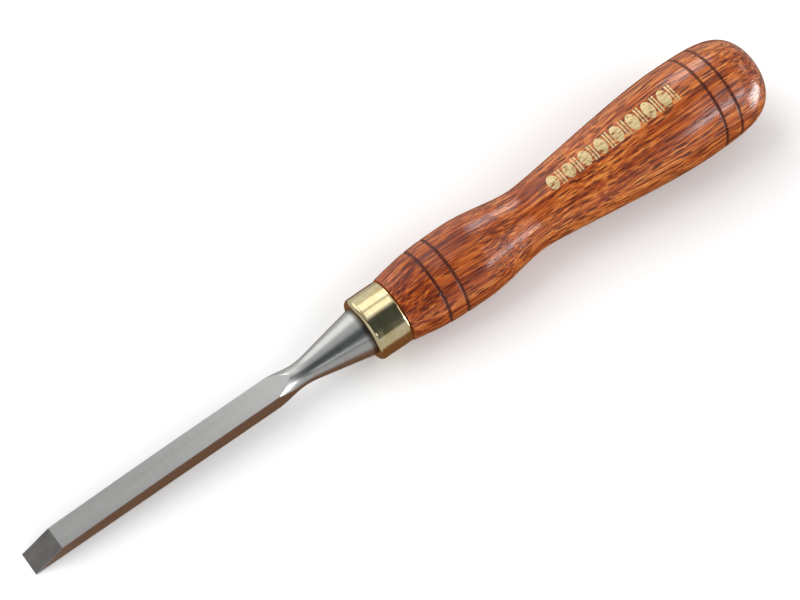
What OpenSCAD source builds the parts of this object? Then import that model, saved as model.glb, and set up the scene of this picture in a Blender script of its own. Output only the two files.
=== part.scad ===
// Straight, flat carving chisel: a forged blade with a bolster and a square tang, a brass ferrule,
// and a turned hardwood handle.
//
// The tool's axis is the X axis, and the butt of the handle points along +X. The blade's flat back
// faces -Z and its bevel faces up, along +Z. The origin is on the axis, halfway along the ferrule.

/* [Blade] */
// Width of the blade
blade_w = 6.35; // [5:0.05:8]
// Length of steel that shows, from the cutting edge to the ferrule
blade_len = 99.1; // [80:0.1:130]
// Thickness of the bar at the shoulder
bar_t = 6.7; // [6.5:0.1:8]
// Thickness of the bar where the bevel starts
heel_t = 5.2; // [3:0.1:6.4]
// Distance from the cutting edge to where the bar reaches its full thickness
full_t_at = 68; // [50:1:72]
// Length of the bevel
bevel_len = 8.4; // [5:0.1:15]
// Thickness left at the cutting edge
edge_t = 0.05; // [0.02:0.01:0.2]

/* [Neck and bolster] */
// Radius of the neck, where the steel is thinnest
neck_r = 3.15; // [2.5:0.05:3.15]
// Distance from the neck to the ferrule
neck_to_ferrule = 19.4; // [15:0.1:25]
// Radius of the long hollow that forms the neck
hollow_r = 18; // [10:0.5:25]
// Slope of the shoulder, where the bar is turned down to the neck
shoulder_deg = 15; // [10:0.5:25]
// Slope of the bolster's cone
bolster_deg = 11.3; // [8:0.1:12.5]

/* [Tang] */
// Length of the tang, from the bolster to its end
tang_len = 62; // [50:1:80]
// Side of the square tang at the bolster
tang_root = 5; // [4:0.1:5]
// Side of the square tang at its end
tang_end = 3; // [2:0.1:3.5]

/* [Ferrule] */
// Radius of the ferrule
ferrule_r = 8.75; // [8.5:0.05:8.9]
// Length of the ferrule
ferrule_len = 9.6; // [8:0.1:14]
// Thickness of the ferrule's wall and of its front
ferrule_wall = 1; // [0.8:0.1:1.5]
// Radius of the ferrule's front lip
lip_r = 1.2; // [0.5:0.1:1.5]
// Radius of the ferrule's back edge
back_edge_r = 0.8; // [0.1:0.1:1]
// Gap between the tang's corners and the hole in the ferrule's front
tang_gap = 0.15; // [0.05:0.05:0.5]

/* [Handle] */
// Radius of the handle where it meets the ferrule
front_r = 8.95; // [8.95:0.05:9.5]
// Distance from the ferrule to the front swell
swell_at = 22.2; // [21:0.1:24]
// Radius of the front swell
swell_r = 10.9; // [10:0.05:12]
// Distance from the ferrule to the waist
waist_at = 41.6; // [38:0.1:44]
// Radius of the waist
waist_r = 8.6; // [7.5:0.05:9.5]
// Distance from the ferrule to the widest part of the palm end
palm_at = 90.8; // [85:0.1:95]
// Radius of the palm end
palm_r = 13.45; // [12:0.05:15]
// Distance from the ferrule to the end of the butt
handle_len = 114.2; // [112:0.1:118]

/* [Grooves] */
// Distances from the ferrule to the two front grooves
front_grooves = [10.1, 15.3]; // [8:0.1:20]
// Distances from the ferrule to the two grooves at the butt
butt_grooves = [95.8, 100.8]; // [85:0.1:104]
// Radius of a groove's section
groove_r = 0.45; // [0.3:0.05:0.6]
// Depth of the grooves
groove_depth = 0.35; // [0.2:0.05:0.5]

/* [Hidden] */
$fn = 96;

// Places along the X axis
ferrule_front = -ferrule_len / 2;
ferrule_back = ferrule_len / 2;
edge_x = ferrule_front - blade_len;
heel_x = edge_x + bevel_len;
full_t_x = edge_x + full_t_at;
neck_x = ferrule_front - neck_to_ferrule;
tang_end_x = ferrule_front + tang_len;
tenon_front = ferrule_front + ferrule_wall;
butt_x = ferrule_back + handle_len;

// Depths of the stepped pilot hole, measured from the end of the tenon, and the radius of each step
pilot_steps = [[20, 2.6], [40, 2.2], [tang_len + 1, 1.75]];
// Slope of the handle just behind the ferrule
front_slope = 0.19;
// How far the outline follows its tangent behind the ferrule, and ahead of the middle of the butt
front_reach = 9.9;
butt_reach = 13.4;
// The same, in front of and behind the swell, the waist and the palm end
swell_reach = [10.5, 6.6];
waist_reach = [5.7, 6.7];
palm_reach = [13.3, 15.6];
// Radius of the block that the blade's round parts are turned from
turned_stock_r = bar_t;
arc_steps = 16;
curve_steps = 18;

// Points on an arc about centre c, from angle a0 to angle a1
function arc(c, r, a0, a1) =
    [for (i = [0:arc_steps]) let (a = a0 + (a1 - a0) * i / arc_steps) c + r * [cos(a), sin(a)]];

// Points on a cubic curve from a to d, which leaves a towards b and reaches d from c
function curve(a, b, c, d) =
    [for (i = [0:curve_steps]) let (u = i / curve_steps, v = 1 - u)
        v ^ 3 * a + 3 * v ^ 2 * u * b + 3 * v * u ^ 2 * c + u ^ 3 * d];

// Turns an outline in the XY plane about the X axis
module turn_about_x() {
    rotate([0, 90, 0]) rotate_extrude() rotate(90) mirror([0, 1]) children();
}

// A straight bar of width w along Y, from its side outline of X and Z
module from_side(w) {
    rotate([90, 0, 0]) linear_extrude(w, center = true) children();
}

// Outline of the steel's turned parts: shoulder, hollow neck and bolster
module turned_outline() {
    hollow = [neck_x, neck_r + hollow_r];
    hollow_line = arc(hollow, hollow_r, 270 - shoulder_deg, 270 + bolster_deg);
    shoulder_foot = hollow_line[0];
    bolster_foot = hollow_line[arc_steps];
    shoulder_x = shoulder_foot.x - (turned_stock_r - shoulder_foot.y) / tan(shoulder_deg);
    bolster_r = bolster_foot.y + (ferrule_front - bolster_foot.x) * tan(bolster_deg);
    polygon(concat(
        [[edge_x - 1, 0], [edge_x - 1, turned_stock_r], [shoulder_x, turned_stock_r]],
        hollow_line,
        [[ferrule_front, bolster_r], [ferrule_front, 0]]
    ));
}

// The flat bar: its back is flat and parallel to the axis, and its top falls in a long even curve
// to the heel of the bevel
module bar() {
    back = -bar_t / 2;
    heel = [heel_x, back + heel_t];
    crown = [full_t_x, bar_t / 2];
    bend = [(heel_x + full_t_x) / 2, bar_t / 2];
    from_side(blade_w) polygon(concat(
        [[edge_x, back], [neck_x + 1, back], [neck_x + 1, bar_t / 2]],
        curve(crown, crown + (bend - crown) * 2 / 3, heel + (bend - heel) * 2 / 3, heel),
        [[edge_x, back + edge_t]]
    ));
}

// The tapered square tang, which starts a little inside the bolster
module tang() {
    inset = 2;
    taper = (tang_root - tang_end) / tang_len;
    start = tang_root / 2 + inset * taper / 2;
    outline = [
        [ferrule_front - inset, -start],
        [tang_end_x, -tang_end / 2],
        [tang_end_x, tang_end / 2],
        [ferrule_front - inset, start]
    ];
    intersection() {
        from_side(2 * tang_root) polygon(outline);
        linear_extrude(2 * tang_root, center = true) polygon(outline);
    }
}

module blade() {
    color("silver") {
        intersection() {
            turn_about_x() turned_outline();
            union() {
                bar();
                translate([neck_x, -turned_stock_r, -turned_stock_r])
                    cube([neck_to_ferrule, 2 * turned_stock_r, 2 * turned_stock_r]);
            }
        }
        tang();
    }
}

module ferrule() {
    hole_r = tang_root / sqrt(2) + tang_gap;
    inner_r = ferrule_r - ferrule_wall;
    color("goldenrod") turn_about_x() polygon(concat(
        [[ferrule_front, hole_r]],
        arc([ferrule_front + lip_r, ferrule_r - lip_r], lip_r, 180, 90),
        arc([ferrule_back - back_edge_r, ferrule_r - back_edge_r], back_edge_r, 90, 0),
        [[ferrule_back, inner_r], [tenon_front, inner_r], [tenon_front, hole_r]]
    ));
}

// Half outline of the handle behind the ferrule: front swell, waist, palm end and domed butt
function handle_curve() =
    let (
        front = [ferrule_back, front_r],
        swell = [ferrule_back + swell_at, swell_r],
        waist = [ferrule_back + waist_at, waist_r],
        palm = [ferrule_back + palm_at, palm_r],
        butt = [butt_x, 0]
    )
    concat(
        curve(front, front + front_reach * [1, front_slope], swell - [swell_reach[0], 0], swell),
        curve(swell, swell + [swell_reach[1], 0], waist - [waist_reach[0], 0], waist),
        curve(waist, waist + [waist_reach[1], 0], palm - [palm_reach[0], 0], palm),
        curve(palm, palm + [palm_reach[1], 0], butt + [0, butt_reach], butt)
    );

module handle_groove(distance) {
    x = ferrule_back + distance;
    surface_r = lookup(x, handle_curve());
    turn_about_x() translate([x, surface_r + groove_r - groove_depth]) circle(groove_r, $fn = 32);
}

module handle() {
    tenon_r = ferrule_r - ferrule_wall;
    color("sienna") difference() {
        turn_about_x() polygon(concat(
            [[tenon_front, 0], [tenon_front, tenon_r], [ferrule_back, tenon_r]],
            handle_curve()
        ));
        for (distance = concat(front_grooves, butt_grooves)) handle_groove(distance);
        for (step = pilot_steps)
            translate([tenon_front - 1, 0, 0]) rotate([0, 90, 0]) cylinder(h = step[0] + 1, r = step[1]);
        tang();
    }
}

blade();
ferrule();
handle();
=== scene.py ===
"""Looks of a straight carving chisel: ground steel blade, brass ferrule, lacquered hardwood handle.

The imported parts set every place. X runs from the cutting edge to the butt, and the blade's bevelled
top faces up. Shapes are worked out in millimetres and become meshes in metres.
"""
from math import acos, atan2, cos, pi, radians, sin, sqrt, tan

import bpy
import numpy as np
from mathutils import Matrix, Vector


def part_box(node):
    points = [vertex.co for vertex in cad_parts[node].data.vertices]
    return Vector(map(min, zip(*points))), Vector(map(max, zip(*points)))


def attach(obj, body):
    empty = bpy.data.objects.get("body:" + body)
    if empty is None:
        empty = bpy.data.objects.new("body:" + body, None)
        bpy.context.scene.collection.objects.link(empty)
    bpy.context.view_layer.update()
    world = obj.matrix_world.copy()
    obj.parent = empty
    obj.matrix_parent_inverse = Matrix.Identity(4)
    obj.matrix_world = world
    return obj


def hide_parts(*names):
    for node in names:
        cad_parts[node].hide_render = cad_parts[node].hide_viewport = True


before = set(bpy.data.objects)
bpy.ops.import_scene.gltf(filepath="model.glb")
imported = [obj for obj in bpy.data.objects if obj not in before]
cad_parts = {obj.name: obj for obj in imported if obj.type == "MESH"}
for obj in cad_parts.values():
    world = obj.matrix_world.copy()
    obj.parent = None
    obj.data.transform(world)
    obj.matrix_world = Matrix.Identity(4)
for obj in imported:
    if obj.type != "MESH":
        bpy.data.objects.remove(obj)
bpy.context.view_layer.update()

MM = 0.001

# ---------------------------------------------------------------- sizes, in millimetres
blade_low, blade_high = (np.array(corner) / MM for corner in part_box("blade"))
ferrule_low, ferrule_high = (np.array(corner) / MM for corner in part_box("ferrule"))
handle_low, handle_high = (np.array(corner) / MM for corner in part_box("handle"))

EDGE_X = blade_low[0]
TANG_END_X = blade_high[0]
FERRULE_FRONT = ferrule_low[0]
FERRULE_BACK = ferrule_high[0]
FERRULE_R = ferrule_high[1]
BUTT_X = handle_high[0]
PALM_R = handle_high[1]
TENON_FRONT = handle_low[0]

# Blade
BLADE_W = 6.35
BAR_T = 6.7
HEEL_T = 5.2
EDGE_T = 0.05
BEVEL_LEN = 8.4
FULL_T_AT = 68
EASED_EDGE = 0.12
CORNER_STEPS = 24
FLAT_STEPS = (0, 0.02, 0.1, 0.3, 0.5, 0.7, 0.9, 0.98)

# Neck, bolster and tang
NECK_R = 3.15
NECK_TO_FERRULE = 19.4
HOLLOW_R = 18
SHOULDER_SLOPE = radians(15)
SHOULDER_REACH = 9.2           # how far before the neck the turning starts to cut the bar
BOLSTER_SLOPE = radians(11.3)
BOLSTER_RIM = 0.25
ROUND_STOCK = 19.4             # half the stock the bolster is turned from, so no flat is left on it
TANG_ROOT = 5
TANG_END = 3
TANG_EASED_EDGE = 0.15
UNTURNED_R = 99                # wider than the tang, so that nothing is cut from it

# Ferrule
WALL = TENON_FRONT - FERRULE_FRONT
LIP_R = 1.2
BACK_EDGE_R = 0.8
HOLLOW_HALF = 1.3
HOLLOW_DEPTH = 0.02
TANG_GAP = 0.15
TANG_HOLE_R = TANG_ROOT / sqrt(2) + TANG_GAP

# Handle, with distances from the back of the ferrule
FRONT_R = 8.95
FRONT_SLOPE = 0.19
FRONT_EDGE = (0.05, 0.04)      # a point on the front's eased edge, back from it and down from it
FRONT_EASED = 0.15
SWELL = (22.2, 10.9)
WAIST = (41.6, 8.6)
PALM = (90.8, PALM_R)
# How far the curve is drawn out before and after each of these places
FRONT_PULL = 9.9
SWELL_PULLS = (10.5, 6.6)
WAIST_PULLS = (5.7, 6.7)
PALM_PULLS = (13.3, 15.6)
BUTT_PULL = 13.4
OUTLINE_STEP = 0.5
GROOVE_STEP = 0.06
GROOVES = (10.1, 15.3, 95.8, 100.8)
GROOVE_DEPTH = 0.4
GROOVE_HALF_W = 0.5
GROOVE_MARGIN = 0.15           # how far past a groove its closer points reach
# The stepped hole for the tang: depth from the tenon's front, and radius
PILOT_STEPS = ((20, 2.6), (40, 2.2), (TANG_END_X - FERRULE_FRONT + 1, 1.75))

# Foil ornament on the handle
FOIL_START = 48.6
FOIL_END = 89.1
FOIL_TURN = radians(6)
FOIL_REPEATS = 8
FOIL_FIRST_HEIGHT = 4.4
FOIL_LAST_HEIGHT = 5.6
FOIL_SKIN = 0.02

# Floor, and the strength of the even light and of the room that polished surfaces mirror
FLOOR_SIZE = 4000
FLOOR_GAP = 0.15
EVEN_LIGHT = 0.62
ROOM_GREY = 0.46
SUN_SPREAD = radians(70)


def srgb(red, green, blue):
    """A colour given as the usual 0 to 255 values, as the linear colour that shaders take."""
    channels = [value / 255 for value in (red, green, blue)]
    return tuple(c / 12.92 if c <= 0.04045 else ((c + 0.055) / 1.055) ** 2.4 for c in channels) + (1,)


# ---------------------------------------------------------------- node helpers
class Nodes:
    """Adds nodes to a tree and links them, with inputs given by name or number."""

    def __init__(self, tree):
        self.tree = tree

    def add(self, kind, settings=None, **inputs):
        node = self.tree.nodes.new(kind)
        for name, value in (settings or {}).items():
            setattr(node, name, value)
        for name, value in inputs.items():
            self.feed(self.socket(node.inputs, name), value)
        return node

    @staticmethod
    def socket(sockets, name):
        """A socket by its name, with _ for a space, or by its number written as i0, i1 and so on."""
        if name[0] == "i" and name[1:].isdigit():
            return sockets[int(name[1:])]
        wanted = name.replace("_", " ").lower()
        return next(s for s in sockets if s.name.lower() == wanted and s.enabled)

    def feed(self, socket, value):
        if isinstance(value, bpy.types.Node):
            value = next(s for s in value.outputs if s.enabled)
        if isinstance(value, bpy.types.NodeSocket):
            self.tree.links.new(value, socket)
        else:
            socket.default_value = value

    def math(self, operation, first, second=0.0, third=0.0):
        node = self.add("ShaderNodeMath", {"operation": operation})
        for socket, value in zip(node.inputs, (first, second, third)):
            self.feed(socket, value)
        return node.outputs[0]


# ---------------------------------------------------------------- material helpers
def new_material(name):
    material = bpy.data.materials.new(name)
    material.use_nodes = True
    material.node_tree.nodes.clear()
    nodes = Nodes(material.node_tree)
    shader = nodes.add("ShaderNodeBsdfPrincipled")
    nodes.add("ShaderNodeOutputMaterial", Surface=shader.outputs[0])
    return material, nodes, shader


def place(nodes, stretch=(1, 1, 1), turn=(0, 0, 0)):
    """Object coordinates in millimetres, stretched so that a pattern runs long where stretch is small."""
    coords = nodes.add("ShaderNodeTexCoord").outputs["Object"]
    scale = tuple(s / MM for s in stretch)
    return nodes.add("ShaderNodeMapping", Vector=coords, Scale=scale, Rotation=turn).outputs[0]


def noise(nodes, where, detail=2.0, rough=0.5):
    node = nodes.add("ShaderNodeTexNoise", Vector=where, Scale=1, Detail=detail, Roughness=rough)
    return node.outputs[0]


def ramp(nodes, value, *stops):
    """A colour ramp from (position, colour) stops."""
    node = nodes.add("ShaderNodeValToRGB", Fac=value)
    elements = node.color_ramp.elements
    while len(elements) < len(stops):
        elements.new(0.5)
    for element, (position, colour) in zip(elements, stops):
        element.position = position
        element.color = colour
    return node.outputs[0]


def blend(nodes, amount, first, second, how="MIX"):
    node = nodes.add("ShaderNodeMix", {"data_type": "RGBA", "blend_type": how})
    for number, value in ((0, amount), (6, first), (7, second)):
        nodes.feed(node.inputs[number], value)
    return node.outputs[2]


def spread(nodes, value, low, high, to_low=0.0, to_high=1.0):
    return nodes.add("ShaderNodeMapRange", i0=value, i1=low, i2=high, i3=to_low, i4=to_high).outputs[0]


def raised(nodes, height, depth, under=None):
    """A bump of the given depth in millimetres, on top of another bump if there is one."""
    node = nodes.add("ShaderNodeBump", Height=height, Distance=depth * MM, Strength=1.0)
    if under:
        nodes.feed(node.inputs["Normal"], under)
    return node.outputs[0]


# ---------------------------------------------------------------- materials
def lacquered_hardwood():
    material, nodes, shader = new_material("lacquered_hardwood")
    # The grain wanders a little from the handle's axis
    straight = place(nodes)
    wander = nodes.add(
        "ShaderNodeTexNoise", Vector=place(nodes, (0.03, 0.035, 0.035)), Scale=1, Detail=1,
    ).outputs["Color"]
    sideways = nodes.add("ShaderNodeVectorMath", {"operation": "MULTIPLY"}, i0=wander, i1=(0, 5, 5))
    grain = nodes.add("ShaderNodeVectorMath", {"operation": "ADD"}, i0=straight, i1=sideways).outputs[0]

    def along_grain(long, across, shift=0.0):
        return nodes.add(
            "ShaderNodeMapping", Vector=grain, Scale=(long, across, across), Location=(shift, shift, 0),
        )

    bands = noise(nodes, along_grain(0.008, 0.13), 3, 0.55)
    streaks = noise(nodes, along_grain(0.025, 0.9, 7.0), 4, 0.65)
    fibre = noise(nodes, along_grain(0.05, 3.0, 3.0), 3, 0.6)
    tone = nodes.math("MULTIPLY_ADD", bands, 0.22, nodes.math("MULTIPLY", streaks, 0.55))
    tone = nodes.math("MULTIPLY_ADD", fibre, 0.35, tone)
    wood = ramp(
        nodes, tone,
        (0.45, srgb(98, 34, 8)), (0.525, srgb(144, 62, 18)),
        (0.58, srgb(177, 88, 31)), (0.66, srgb(212, 134, 66)),
    )
    # Long thin pores, cut short where the turned surface runs across them
    coarse, fine = (
        nodes.add("ShaderNodeTexVoronoi", Vector=along_grain(*grain_scale), Scale=1).outputs["Distance"]
        for grain_scale in ((0.16, 1.1, 1.0), (0.08, 2.1, 5.0))
    )
    crowd = noise(nodes, along_grain(0.02, 0.16, 2.0))
    coarse_pores = spread(nodes, coarse, 0.27, 0.37, 1, 0)
    fine_pores = spread(nodes, fine, 0.28, 0.39, 0.75, 0)
    pores = nodes.math("MAXIMUM", coarse_pores, fine_pores)
    pores = nodes.math("MULTIPLY", pores, spread(nodes, crowd, 0.35, 0.6, 0.72, 1.0))
    wood = blend(nodes, nodes.math("MULTIPLY", pores, 0.9), wood, srgb(66, 18, 8))
    # The wood's colour is made darker towards the front of the handle, by the ferrule
    along = nodes.add("ShaderNodeSeparateXYZ", Vector=straight).outputs[0]
    deeper = spread(nodes, along, float(FERRULE_BACK + 6), float(FERRULE_BACK + 36), 0.3, 0.0)
    wood = blend(nodes, deeper, wood, srgb(190, 150, 130), "MULTIPLY")
    # Burnt grooves
    nearest = None
    for distance in GROOVES:
        gap = nodes.math("ABSOLUTE", nodes.math("SUBTRACT", along, float(FERRULE_BACK + distance)))
        nearest = gap if nearest is None else nodes.math("MINIMUM", nearest, gap)
    ragged = nodes.math("MULTIPLY_ADD", fine, 0.3, nearest)
    burnt = spread(nodes, ragged, 0.4, 0.8, 0.82, 0.0)
    wood = blend(nodes, burnt, wood, srgb(64, 28, 24))
    nodes.feed(shader.inputs["Base Color"], wood)
    surface = raised(nodes, fibre, 0.03)
    surface = raised(nodes, nodes.math("SUBTRACT", 1.0, pores), 0.03, surface)
    nodes.feed(shader.inputs["Normal"], surface)
    nodes.feed(shader.inputs["Coat Normal"], surface)
    shader.inputs["Roughness"].default_value = 0.45
    shader.inputs["Specular IOR Level"].default_value = 0.1
    shader.inputs["Coat Weight"].default_value = 0.9
    shader.inputs["Coat Roughness"].default_value = 0.08
    shader.inputs["Coat IOR"].default_value = 1.5
    return material


def polished_brass():
    material, nodes, shader = new_material("polished_brass")
    tarnish = noise(nodes, place(nodes, (0.35, 0.35, 0.35)), 4, 0.6)
    turning = noise(nodes, place(nodes, (9.0, 0.05, 0.05)), 3, 0.6)
    nodes.feed(shader.inputs["Base Color"], ramp(
        nodes, tarnish, (0.35, srgb(234, 212, 156)), (0.65, srgb(248, 234, 192)),
    ))
    nodes.feed(shader.inputs["Roughness"], spread(nodes, tarnish, 0.3, 0.7, 0.14, 0.17))
    nodes.feed(shader.inputs["Normal"], raised(nodes, turning, 0.004))
    shader.inputs["Metallic"].default_value = 1.0
    return material


def ground_steel():
    material, nodes, shader = new_material("ground_steel")
    cloud = noise(nodes, place(nodes, (0.03, 0.35, 0.35)), 4, 0.6)
    along_marks = noise(nodes, place(nodes, (0.06, 5.0, 5.0)), 3, 0.65)
    cross_marks = noise(nodes, place(nodes, (1.2, 0.25, 0.25), (0, 0, radians(30))), 3, 0.5)
    mottle = nodes.math("MULTIPLY_ADD", cross_marks, 0.3, nodes.math("MULTIPLY", cloud, 0.5))
    mottle = nodes.math("MULTIPLY_ADD", along_marks, 0.2, mottle)
    metal = ramp(nodes, mottle, (0.35, srgb(206, 205, 203)), (0.65, srgb(222, 223, 221)))
    # Painted shade: the steel's colour is darkened to brown in a band where the bolster meets the ferrule
    along = nodes.add("ShaderNodeSeparateXYZ", Vector=place(nodes)).outputs[0]
    shade_edge = nodes.math("MULTIPLY_ADD", cloud, 0.6, along)
    ferrule_shade = spread(nodes, shade_edge, float(FERRULE_FRONT - 1.1), float(FERRULE_FRONT - 0.2), 0.0, 0.8)
    # The brown colour here is the painted shade beside the ferrule
    nodes.feed(shader.inputs["Base Color"], blend(nodes, ferrule_shade, metal, srgb(96, 78, 66)))
    # Kept above 0.28: running from 0.24, it gave specks
    nodes.feed(shader.inputs["Roughness"], spread(nodes, cloud, 0.3, 0.7, 0.285, 0.34))
    shader.inputs["Metallic"].default_value = 1.0
    return material


def gold_foil():
    material, nodes, shader = new_material("gold_foil")
    wear = noise(nodes, place(nodes, (0.5, 1.6, 1.6)), 4, 0.65)
    nodes.feed(shader.inputs["Base Color"], ramp(
        nodes, wear, (0.36, srgb(140, 84, 40)), (0.47, srgb(206, 182, 132)), (0.7, srgb(226, 206, 160)),
    ))
    nodes.feed(shader.inputs["Normal"], raised(nodes, wear, 0.01))
    shader.inputs["Metallic"].default_value = 0.6
    shader.inputs["Roughness"].default_value = 0.42
    return material


# ---------------------------------------------------------------- mesh helpers
def plain_mesh(name, points, faces, material):
    """A mesh object in metres from points in millimetres."""
    mesh = bpy.data.meshes.new(name)
    mesh.from_pydata([tuple(MM * c for c in point) for point in points], [], faces)
    mesh.materials.append(material)
    mesh.shade_smooth()
    mesh.set_sharp_from_angle(angle=radians(40))
    piece = bpy.data.objects.new(name, mesh)
    bpy.context.collection.objects.link(piece)
    return piece


def cubic(a, b, c, d, steps):
    """Points on a cubic curve from a to d, which leaves a towards b and reaches d from c."""
    u = np.linspace(0, 1, steps + 1)[:, None]
    a, b, c, d = (np.array(point, float) for point in (a, b, c, d))
    return (1 - u) ** 3 * a + 3 * (1 - u) ** 2 * u * b + 3 * (1 - u) * u ** 2 * c + u ** 3 * d


def arc(centre, radius, start, end, steps):
    angles = np.linspace(radians(start), radians(end), steps + 1)
    return np.array(centre, float) + radius * np.column_stack([np.cos(angles), np.sin(angles)])


# ---------------------------------------------------------------- turning on the lathe
def lathe_tree():
    """Turns an outline of X and radius, given as a row of points, about the X axis."""
    tree = bpy.data.node_groups.new("turn_on_lathe", "GeometryNodeTree")
    socket = tree.interface.new_socket
    socket("Outline", in_out="INPUT", socket_type="NodeSocketGeometry")
    socket("Outline points", in_out="INPUT", socket_type="NodeSocketInt")
    socket("Sides", in_out="INPUT", socket_type="NodeSocketInt")
    socket("Finish", in_out="INPUT", socket_type="NodeSocketMaterial")
    socket("Turned piece", in_out="OUTPUT", socket_type="NodeSocketGeometry")
    nodes = Nodes(tree)
    given = nodes.add("NodeGroupInput").outputs
    around = nodes.math("ADD", given["Sides"], 1)
    grid = nodes.add(
        "GeometryNodeMeshGrid", Size_X=1, Size_Y=1, Vertices_X=given["Outline points"], Vertices_Y=around,
    )
    place_on_grid = nodes.add("ShaderNodeSeparateXYZ", Vector=nodes.add("GeometryNodeInputPosition"))
    along = nodes.math("ADD", place_on_grid.outputs[0], 0.5)
    last = nodes.math("SUBTRACT", given["Outline points"], 1)
    number = nodes.math("ROUND", nodes.math("MULTIPLY", along, last))
    outline = nodes.add(
        "GeometryNodeSampleIndex", {"data_type": "FLOAT_VECTOR"},
        Geometry=given["Outline"], Value=nodes.add("GeometryNodeInputPosition"), Index=number,
    )
    at = nodes.add("ShaderNodeSeparateXYZ", Vector=outline.outputs[0])
    angle = nodes.math("MULTIPLY", nodes.math("ADD", place_on_grid.outputs[1], 0.5), 2 * pi)
    ring = nodes.add(
        "ShaderNodeCombineXYZ", X=at.outputs[0],
        Y=nodes.math("MULTIPLY", at.outputs[1], nodes.math("SINE", angle)),
        Z=nodes.math("MULTIPLY", at.outputs[1], nodes.math("COSINE", angle)),
    )
    turned = nodes.add("GeometryNodeSetPosition", Geometry=grid.outputs[0], Position=ring)
    closed = nodes.add("GeometryNodeMergeByDistance", Geometry=turned, Distance=0.0005 * MM)
    smooth = nodes.add("GeometryNodeSetShadeSmooth", Geometry=closed)
    real = nodes.add("GeometryNodeRealizeInstances", Geometry=smooth)
    finished = nodes.add("GeometryNodeSetMaterial", Geometry=real, Material=given["Finish"])
    nodes.add("NodeGroupOutput", i0=finished)
    return tree


def grown_by(tree, start, name, **inputs):
    """Runs a Geometry Nodes tree on a starting object, and returns the result as a plain piece."""
    modifier = start.modifiers.new("grow", "NODES")
    modifier.node_group = tree
    sockets = {item.name: item.identifier for item in tree.interface.items_tree if item.in_out == "INPUT"}
    for key, value in inputs.items():
        modifier[sockets[key.replace("_", " ")]] = value
    bpy.context.view_layer.update()
    evaluated = start.evaluated_get(bpy.context.evaluated_depsgraph_get())
    mesh = bpy.data.meshes.new_from_object(evaluated)
    bpy.data.objects.remove(start)
    mesh.name = name
    mesh.set_sharp_from_angle(angle=radians(40))
    piece = bpy.data.objects.new(name, mesh)
    bpy.context.collection.objects.link(piece)
    return piece


def turned(name, outline, sides, material):
    mesh = bpy.data.meshes.new(name + "_outline")
    points = [(x * MM, r * MM, 0) for x, r in outline]
    mesh.from_pydata(points, [(i, i + 1) for i in range(len(points) - 1)], [])
    start = bpy.data.objects.new(name + "_outline", mesh)
    bpy.context.collection.objects.link(start)
    return grown_by(LATHE, start, name, Outline_points=len(points), Sides=sides, Finish=material)


# ---------------------------------------------------------------- handle
def handle_curve():
    """The handle's outline from the ferrule to the butt, before its grooves are cut."""
    front = np.array([FERRULE_BACK, FRONT_R])
    swell, waist, palm = (np.array([FERRULE_BACK + x, r]) for x, r in (SWELL, WAIST, PALM))
    butt = np.array([BUTT_X, 0])
    after_front = front + FRONT_PULL * np.array([1, FRONT_SLOPE])
    return np.vstack([
        cubic(front, after_front, swell - [SWELL_PULLS[0], 0], swell, 300),
        cubic(swell, swell + [SWELL_PULLS[1], 0], waist - [WAIST_PULLS[0], 0], waist, 300)[1:],
        cubic(waist, waist + [WAIST_PULLS[1], 0], palm - [PALM_PULLS[0], 0], palm, 600)[1:],
        cubic(palm, palm + [PALM_PULLS[1], 0], butt + [0, BUTT_PULL], butt, 600)[1:],
    ])


def groove_cut(x):
    """How deep the grooves are at x: each is a smooth rounded channel."""
    depth = 0
    for distance in GROOVES:
        off = abs(x - FERRULE_BACK - distance)
        if off < GROOVE_HALF_W:
            depth += GROOVE_DEPTH * cos(pi / 2 * off / GROOVE_HALF_W) ** 2
    return depth


def handle_outline():
    """Points a short way apart, closer together in the grooves, and then the bore and the tenon."""
    curve = handle_curve()
    kept = [curve[0]]
    for point in curve[1:-1]:
        near_groove = min(abs(point[0] - FERRULE_BACK - g) for g in GROOVES) < GROOVE_HALF_W + GROOVE_MARGIN
        step = GROOVE_STEP if near_groove else OUTLINE_STEP
        if np.hypot(*(point - kept[-1])) >= step:
            kept.append(point)
    kept.append(curve[-1])
    outer = [(x, r - groove_cut(x)) for x, r in kept]
    outer[0] = (FERRULE_BACK, FRONT_R - FRONT_EASED)
    outer.insert(1, (FERRULE_BACK + FRONT_EDGE[0], FRONT_R - FRONT_EDGE[1]))
    bore = [(TENON_FRONT + PILOT_STEPS[-1][0], 0)]
    for (_, radius), (shallower, _) in zip(PILOT_STEPS[::-1], (*PILOT_STEPS[-2::-1], (0, 0))):
        bore += [(bore[-1][0], radius), (TENON_FRONT + shallower, radius)]
    tenon_r = FERRULE_R - WALL
    return bore + [(TENON_FRONT, tenon_r), (FERRULE_BACK, tenon_r)] + outer


# ---------------------------------------------------------------- ferrule
def ferrule_outline():
    inner_r = FERRULE_R - WALL
    front_lip = arc((FERRULE_FRONT + LIP_R, FERRULE_R - LIP_R), LIP_R, 180, 90, 24)
    back_edge = arc((FERRULE_BACK - BACK_EDGE_R, FERRULE_R - BACK_EDGE_R), BACK_EDGE_R, 90, 0, 10)
    # A very shallow hollow behind the lip, where the roll runs into the straight wall
    side_x = np.linspace(FERRULE_FRONT + LIP_R, FERRULE_BACK - BACK_EDGE_R, 60)[1:-1]
    from_hollow = np.clip((side_x - FERRULE_FRONT - LIP_R - HOLLOW_HALF) / HOLLOW_HALF, -1, 1)
    side = np.column_stack([side_x, FERRULE_R - HOLLOW_DEPTH * np.cos(pi / 2 * from_hollow) ** 2])
    return np.vstack([
        [[FERRULE_FRONT, TANG_HOLE_R]], front_lip, side, back_edge,
        [[FERRULE_BACK, inner_r], [TENON_FRONT, inner_r]],
        [[TENON_FRONT, TANG_HOLE_R], [FERRULE_FRONT, TANG_HOLE_R]],
    ])


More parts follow.
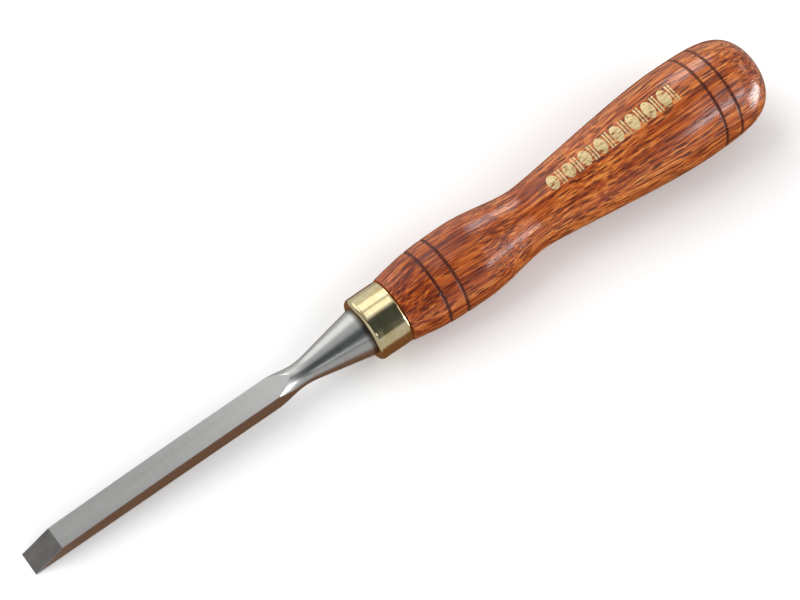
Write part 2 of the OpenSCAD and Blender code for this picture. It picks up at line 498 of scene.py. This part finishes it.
# ---------------------------------------------------------------- blade
def turned_radius(x):
    """Radius of the shoulder, hollow neck and bolster at x."""
    neck_x = FERRULE_FRONT - NECK_TO_FERRULE
    off = x - neck_x
    if off < -HOLLOW_R * sin(SHOULDER_SLOPE):
        foot = HOLLOW_R * (1 - cos(SHOULDER_SLOPE))
        return NECK_R + foot - (off + HOLLOW_R * sin(SHOULDER_SLOPE)) * tan(SHOULDER_SLOPE)
    if off > HOLLOW_R * sin(BOLSTER_SLOPE):
        foot = HOLLOW_R * (1 - cos(BOLSTER_SLOPE))
        return NECK_R + foot + (off - HOLLOW_R * sin(BOLSTER_SLOPE)) * tan(BOLSTER_SLOPE)
    return NECK_R + HOLLOW_R - sqrt(HOLLOW_R ** 2 - off ** 2)


def bar_top(x):
    """Height of the bar's upper face above the axis: the bevel, then a long even rise."""
    back = -BAR_T / 2
    heel_x = EDGE_X + BEVEL_LEN
    full_x = EDGE_X + FULL_T_AT
    if x < heel_x:
        return back + EDGE_T + (HEEL_T - EDGE_T) * (x - EDGE_X) / BEVEL_LEN
    if x > full_x:
        return BAR_T / 2
    return BAR_T / 2 - (BAR_T - HEEL_T) * ((full_x - x) / (full_x - heel_x)) ** 2


def corner(half_w, height, radius, eased):
    """Points round one corner of the bar, from its side face to its upper or lower face.

    The corner is either eased by hand or, past the shoulder, cut away by the turned radius.
    """
    sliver = radians(0.15)
    eased = min(eased, 0.3 * abs(height))
    share = np.linspace(0, 1, CORNER_STEPS + 1)
    inside = radius ** 2 < (half_w - eased) ** 2 + height ** 2
    if inside:
        low = acos(min(1, half_w / radius)) if half_w < radius else 0
        high = pi / 2 - (acos(min(1, height / radius)) if height < radius else 0)
        low, high = max(low, sliver), min(high, pi / 2 - sliver)
        angles = low + (high - low) * share
        return np.column_stack([radius * np.cos(angles), radius * np.sin(angles)])
    angles = pi / 2 * share
    return np.column_stack([half_w - eased + eased * np.cos(angles), height - eased + eased * np.sin(angles)])


def section(half_w, low, high, radius, eased):
    """One closed loop of Y and Z round the steel."""
    upper = corner(half_w, high, radius, eased)
    lower = corner(half_w, -low, radius, eased)
    corners = [
        upper,
        upper[::-1] * [-1, 1],
        lower * [-1, -1],
        lower[::-1] * [1, -1],
    ]
    loop = []
    for this, following in zip(corners, corners[1:] + corners[:1]):
        loop += list(this[:-1])
        loop += [this[-1] + (following[0] - this[-1]) * share for share in FLAT_STEPS]
    return np.array(loop)


def blade_stations():
    """Where along X the blade's loops stand, closer together where its shape turns."""
    heel_x = EDGE_X + BEVEL_LEN
    neck_x = FERRULE_FRONT - NECK_TO_FERRULE
    shoulder_x = neck_x - SHOULDER_REACH
    return np.concatenate([
        [EDGE_X], np.linspace(EDGE_X + 0.2, heel_x - 0.25, 8), [heel_x - 0.05, heel_x, heel_x + 0.05],
        np.linspace(heel_x + 0.3, shoulder_x, 60),
        np.arange(shoulder_x + 0.1, neck_x, 0.1),
        np.linspace(neck_x, FERRULE_FRONT - BOLSTER_RIM, 60),
    ])


def blade_mesh(material):
    loops, xs = [], []
    for x in blade_stations():
        grow = ROUND_STOCK if x >= FERRULE_FRONT - NECK_TO_FERRULE else 0
        xs.append(x)
        loops.append(section(
            BLADE_W / 2 + grow, -BAR_T / 2 - grow, bar_top(x) + grow, turned_radius(x), EASED_EDGE,
        ))
    # Rim of the bolster, its seat on the ferrule, then the square tang
    rim_r = turned_radius(FERRULE_FRONT - BOLSTER_RIM)
    for angle in np.linspace(0, pi / 2, 6)[1:]:
        radius = rim_r - BOLSTER_RIM * (1 - cos(angle))
        xs.append(FERRULE_FRONT - BOLSTER_RIM * (1 - sin(angle)))
        loops.append(section(ROUND_STOCK, -ROUND_STOCK, ROUND_STOCK, radius, EASED_EDGE))
    for share in (0, 0.02, 0.25, 0.5, 0.75, 1):
        half = (TANG_ROOT + (TANG_END - TANG_ROOT) * share) / 2
        xs.append(FERRULE_FRONT + (TANG_END_X - FERRULE_FRONT) * share)
        loops.append(section(half, -half, half, UNTURNED_R, TANG_EASED_EDGE))
    count = len(loops[0])
    points = [(x, y, z) for x, loop in zip(xs, loops) for y, z in loop]
    faces = [tuple(range(count))]
    for row in range(len(loops) - 1):
        for column in range(count):
            a, b = row * count + column, row * count + (column + 1) % count
            faces.append((a, a + count, b + count, b))
    faces.append(tuple(range(len(points) - 1, len(points) - count - 1, -1)))
    return plain_mesh("blade_forging", points, faces, material)


# ---------------------------------------------------------------- foil ornament
def foil_tree():
    """Lays a bead-and-reel row of thin plates on a turned surface, along one side of it."""
    tree = bpy.data.node_groups.new("foil_row", "GeometryNodeTree")
    socket = tree.interface.new_socket
    socket("Surface", in_out="INPUT", socket_type="NodeSocketGeometry")
    for name in ("Start", "End", "First height", "Last height", "Turn", "Skin"):
        socket(name, in_out="INPUT", socket_type="NodeSocketFloat")
    socket("Repeats", in_out="INPUT", socket_type="NodeSocketInt")
    socket("Finish", in_out="INPUT", socket_type="NodeSocketMaterial")
    socket("Foil", in_out="OUTPUT", socket_type="NodeSocketGeometry")
    nodes = Nodes(tree)
    given = nodes.add("NodeGroupInput").outputs
    length = nodes.math("SUBTRACT", given["End"], given["Start"])
    pitch = nodes.math("DIVIDE", length, given["Repeats"])
    # A bead is a round plate, and each reel is a pair of upright bars behind it
    bead = nodes.add(
        "GeometryNodeMeshCylinder", {"fill_type": "TRIANGLE_FAN"},
        Vertices=32, Side_Segments=1, Fill_Segments=8, Radius=0.5, Depth=1,
    ).outputs["Mesh"]
    bead = nodes.add("GeometryNodeTransform", Geometry=bead, Scale=(0.60, 1, 1), Translation=(0.32, 0, 0))
    bars = [
        nodes.add(
            "GeometryNodeMeshCube", Size=(0.09, 1, 1), Vertices_X=3, Vertices_Y=14, Vertices_Z=2,
        ).outputs["Mesh"]
        for _ in range(2)
    ]
    bars = [
        nodes.add("GeometryNodeTransform", Geometry=bar, Translation=(x, 0, 0))
        for bar, x in zip(bars, (0.73, 0.90))
    ]
    repeat = nodes.add("GeometryNodeJoinGeometry")
    for part in (bead, *bars):
        tree.links.new(part.outputs[0], repeat.inputs[0])
    spots = nodes.add("GeometryNodeMeshLine", Count=given["Repeats"], Offset=(0, 0, 0))
    number = nodes.add("GeometryNodeInputIndex")
    spot_x = nodes.math("MULTIPLY_ADD", number, pitch, given["Start"])
    spot = nodes.add("ShaderNodeCombineXYZ", X=spot_x)
    spots = nodes.add("GeometryNodeSetPosition", Geometry=spots, Position=spot)
    share = nodes.math("DIVIDE", number, nodes.math("SUBTRACT", given["Repeats"], 1))
    height = nodes.add(
        "ShaderNodeMix", i0=share, i2=given["First height"], i3=given["Last height"],
    ).outputs[0]
    size = nodes.add("ShaderNodeCombineXYZ", X=pitch, Y=height, Z=1)
    row = nodes.add("GeometryNodeInstanceOnPoints", Points=spots, Instance=repeat, Scale=size)
    real = nodes.add("GeometryNodeRealizeInstances", Geometry=row)
    # Each plate bends round the surface below it: Y becomes a length of arc, Z its upper or lower skin
    flat = nodes.add("ShaderNodeSeparateXYZ", Vector=nodes.add("GeometryNodeInputPosition"))
    reach = 30 * MM

    def spoke(angle, radius):
        return nodes.add(
            "ShaderNodeCombineXYZ", X=flat.outputs[0],
            Y=nodes.math("MULTIPLY", radius, nodes.math("SINE", angle)),
            Z=nodes.math("MULTIPLY", radius, nodes.math("COSINE", angle)),
        ).outputs[0]

    def surface_radius(angle):
        aim = nodes.add(
            "ShaderNodeCombineXYZ", X=0, Y=nodes.math("MULTIPLY", nodes.math("SINE", angle), -1),
            Z=nodes.math("MULTIPLY", nodes.math("COSINE", angle), -1),
        )
        hit = nodes.add(
            "GeometryNodeRaycast", Target_Geometry=given["Surface"], Source_Position=spoke(angle, reach),
            Ray_Direction=aim, Ray_Length=reach,
        )
        return nodes.math("SUBTRACT", reach, hit.outputs["Hit Distance"])

    middle = surface_radius(given["Turn"])
    angle = nodes.math("ADD", given["Turn"], nodes.math("DIVIDE", flat.outputs[1], middle))
    lift = nodes.math("MULTIPLY", flat.outputs[2], nodes.math("MULTIPLY", given["Skin"], 2))
    laid = nodes.add(
        "GeometryNodeSetPosition", Geometry=real,
        Position=spoke(angle, nodes.math("ADD", surface_radius(angle), lift)),
    )
    finished = nodes.add("GeometryNodeSetMaterial", Geometry=laid, Material=given["Finish"])
    nodes.add("NodeGroupOutput", i0=finished)
    return tree


def foil_ornament(handle, material):
    start = bpy.data.objects.new("foil_start", handle.data.copy())
    bpy.context.collection.objects.link(start)
    return grown_by(
        foil_tree(), start, "foil_ornament",
        Start=float(FERRULE_BACK + FOIL_START) * MM, End=float(FERRULE_BACK + FOIL_END) * MM,
        First_height=FOIL_FIRST_HEIGHT * MM, Last_height=FOIL_LAST_HEIGHT * MM,
        Turn=FOIL_TURN, Skin=FOIL_SKIN * MM, Repeats=FOIL_REPEATS, Finish=material,
    )


# ---------------------------------------------------------------- the tool
LATHE = lathe_tree()
steel = ground_steel()
brass = polished_brass()
hardwood = lacquered_hardwood()
foil = gold_foil()

blade = blade_mesh(steel)
ferrule = turned("ferrule_turned", ferrule_outline(), 192, brass)
handle = turned("handle_turned", handle_outline(), 160, hardwood)
ornament = foil_ornament(handle, foil)

for piece, node, slot in (
    (blade, "blade", "tool_steel"),
    (ferrule, "ferrule", "ferrule_brass"),
    (handle, "handle", "handle_wood"),
):
    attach(piece, "root")
    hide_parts(node)
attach(ornament, "root")

# ---------------------------------------------------------------- camera
VIEW_TILT = radians(12.5)      # the butt lies further away than the edge
VIEW_ROLL = radians(19.5)      # how far round the axis the view stands from the top face
VIEW_TURN = radians(34.289)    # angle of the tool's axis in the picture
VIEW_DISTANCE = 615
VIEW_LENS = 111.15
SENSOR_WIDTH = 36
VIEW_CENTRE_X = EDGE_X + 111.45
VIEW_OFF_AXIS = 1.2

towards_eye = Vector((0, -sin(VIEW_ROLL), cos(VIEW_ROLL)))
axis = Vector((1, 0, 0))
down_slope = Vector((0, -cos(VIEW_ROLL), -sin(VIEW_ROLL)))
forward = sin(VIEW_TILT) * axis - cos(VIEW_TILT) * towards_eye
along_tool = cos(VIEW_TILT) * axis + sin(VIEW_TILT) * towards_eye
picture_right = cos(VIEW_TURN) * along_tool + sin(VIEW_TURN) * down_slope
picture_up = sin(VIEW_TURN) * along_tool - cos(VIEW_TURN) * down_slope


def add_camera():
    data = bpy.data.cameras.new("camera")
    data.lens = VIEW_LENS
    data.sensor_width = SENSOR_WIDTH
    camera = bpy.data.objects.new("camera", data)
    bpy.context.collection.objects.link(camera)
    place_seen = Vector((VIEW_CENTRE_X, 0, 0)) - VIEW_OFF_AXIS * down_slope
    eye = (place_seen - VIEW_DISTANCE * forward) * MM
    turn = Matrix((picture_right, picture_up, -forward)).transposed().to_4x4()
    camera.matrix_world = Matrix.Translation(eye) @ turn
    bpy.context.scene.camera = camera


# ---------------------------------------------------------------- floor and light
def add_floor():
    """A pale table that touches the belly of the handle and the cutting edge."""
    belly = Vector((FERRULE_BACK + PALM[0], 0, -PALM_R))
    tip = Vector((EDGE_X, 0, -BAR_T / 2))
    slope = atan2(belly.z - tip.z, belly.x - tip.x)
    middle = (belly + Vector((0, 0, -FLOOR_GAP))) * MM
    bpy.ops.mesh.primitive_plane_add(size=FLOOR_SIZE * MM, rotation=(0, -slope, 0), location=middle)
    floor = bpy.context.object
    floor.name = "floor"
    floor.visible_glossy = False
    material, nodes, shader = new_material("pale_floor")
    shader.inputs["Base Color"].default_value = (0.9, 0.9, 0.9, 1)
    shader.inputs["Roughness"].default_value = 0.9
    shader.inputs["Specular IOR Level"].default_value = 0.0
    floor.data.materials.append(material)


def round_tool(start, end, x_from, x_to, distance):
    """Corners of a flat card beside the tool, from one angle round its axis to another.

    Angles are in degrees, from straight up towards -Y.
    """
    reach = distance / cos(radians(end - start) / 2)
    ends = [(-reach * sin(radians(angle)), reach * cos(radians(angle))) for angle in (start, end)]
    return [(x_from, *ends[0]), (x_to, *ends[0]), (x_to, *ends[1]), (x_from, *ends[1])]


def reflection_card(name, corners, colour, strength, soft):
    """A soft-edged glowing card that only polished surfaces see."""
    material = bpy.data.materials.new(name)
    material.use_nodes = True
    material.node_tree.nodes.clear()
    nodes = Nodes(material.node_tree)
    uv = nodes.add("ShaderNodeSeparateXYZ", Vector=nodes.add("ShaderNodeTexCoord").outputs["UV"])
    edge = None
    for share in uv.outputs[:2]:
        inside = nodes.math("MINIMUM", share, nodes.math("SUBTRACT", 1.0, share))
        edge = inside if edge is None else nodes.math("MINIMUM", edge, inside)
    solid = nodes.add("ShaderNodeMapRange", {"interpolation_type": "SMOOTHSTEP"}, i0=edge, i1=0.0, i2=soft)
    glow = nodes.add("ShaderNodeEmission", Color=colour, Strength=strength)
    clear = nodes.add("ShaderNodeBsdfTransparent")
    mixed = nodes.add("ShaderNodeMixShader", Fac=solid.outputs[0], i1=clear, i2=glow)
    nodes.add("ShaderNodeOutputMaterial", Surface=mixed)
    card = plain_mesh(name, corners, [(0, 1, 2, 3)], material)
    layer = card.data.uv_layers.new(name="UVMap")
    for loop, uv_place in zip(layer.data, ((0, 0), (1, 0), (1, 1), (0, 1))):
        loop.uv = uv_place
    card.visible_camera = False
    card.visible_diffuse = False
    card.visible_shadow = False


def soft_sun(name, angle, lean, strength):
    """An even light from a wide patch of sky, which polished surfaces don't see.

    Both angles are in degrees. The first goes round the tool's axis and the second leans along it.
    """
    data = bpy.data.lights.new(name, "SUN")
    data.energy = strength
    data.angle = SUN_SPREAD
    sun = bpy.data.objects.new(name, data)
    bpy.context.collection.objects.link(sun)
    sun.matrix_world = Matrix.Rotation(radians(angle), 4, "X") @ Matrix.Rotation(radians(lean), 4, "Y")
    sun.visible_glossy = False


def add_light():
    """Even white light on everything, and a darker room with windows for polished surfaces to mirror."""
    world = bpy.data.worlds.new("studio")
    bpy.context.scene.world = world
    world.use_nodes = True
    world.node_tree.nodes.clear()
    nodes = Nodes(world.node_tree)
    even = nodes.add("ShaderNodeBackground", Color=(1, 1, 1, 1), Strength=EVEN_LIGHT)
    room = nodes.add("ShaderNodeBackground", Color=(ROOM_GREY, ROOM_GREY, ROOM_GREY, 1), Strength=1)
    backdrop = nodes.add("ShaderNodeBackground", Color=(1, 1, 1, 1), Strength=1)
    ray = nodes.add("ShaderNodeLightPath").outputs
    unlit = nodes.add("ShaderNodeMixShader", Fac=ray["Is Camera Ray"], i1=even, i2=backdrop)
    seen = nodes.add("ShaderNodeMixShader", Fac=ray["Is Glossy Ray"], i1=unlit, i2=room)
    nodes.add("ShaderNodeOutputWorld", Surface=seen)
    soft_sun("key_light", -45, -30, 2.45)
    soft_sun("fill_light", 60, 30, 1.7)
    white = (1, 1, 1, 1)
    dark = (0.045, 0.055, 0.06, 1)
    warm = srgb(255, 232, 226)
    brown = srgb(116, 80, 56)
    # Each card's place as round_tool takes it, then its colour, its strength and how soft its edge is
    for name, place_round, colour, strength, soft in (
        ("window_left_pane", (-68, -35, 60, 178, 600), white, 1.4, 0.12),
        ("window_right_pane", (-31, -7, 60, 178, 600), white, 1.4, 0.12),
        ("pale_side", (-106, -66, 60, 240, 610), white, 0.68, 0.12),
        ("window_far", (-74, -38, 250, 460, 595), white, 5, 0.25),
        ("lamp_far", (54, 68, 190, 620, 590), white, 8, 0.2),
        ("pale_ceiling", (4, 76, 240, 700, 600), white, 1.2, 0.15),
        ("lamp_butt", (76, 124, 480, 1300, 560), white, 14, 0.2),
        ("wall_butt", (-8, 26, 860, 1700, 580), white, 3, 0.2),
        ("pale_wall", (-94, -42, -520, 40, 600), white, 1.25, 0.12),
        ("thin_lamp", (52, 61, -420, -60, 590), white, 2, 0.2),
        ("dark_room", (-3, 74, -900, 900, 620), dark, 1, 0.06),
        ("dark_door", (-80, 16, -1700, -480, 590), warm, 0.05, 0.12),
        ("bench", (112, 236, -130, 300, 140), brown, 1, 0.1),
    ):
        reflection_card(name, round_tool(*place_round), colour, strength, soft)
    lip_window = [(-900, 600, 40), (-900, -600, 40), (-900, -600, 300), (-900, 600, 300)]
    reflection_card("window_front", lip_window, white, 0.9, 0.12)


add_camera()
add_floor()
add_light()
bpy.context.scene.view_settings.view_transform = "Standard"
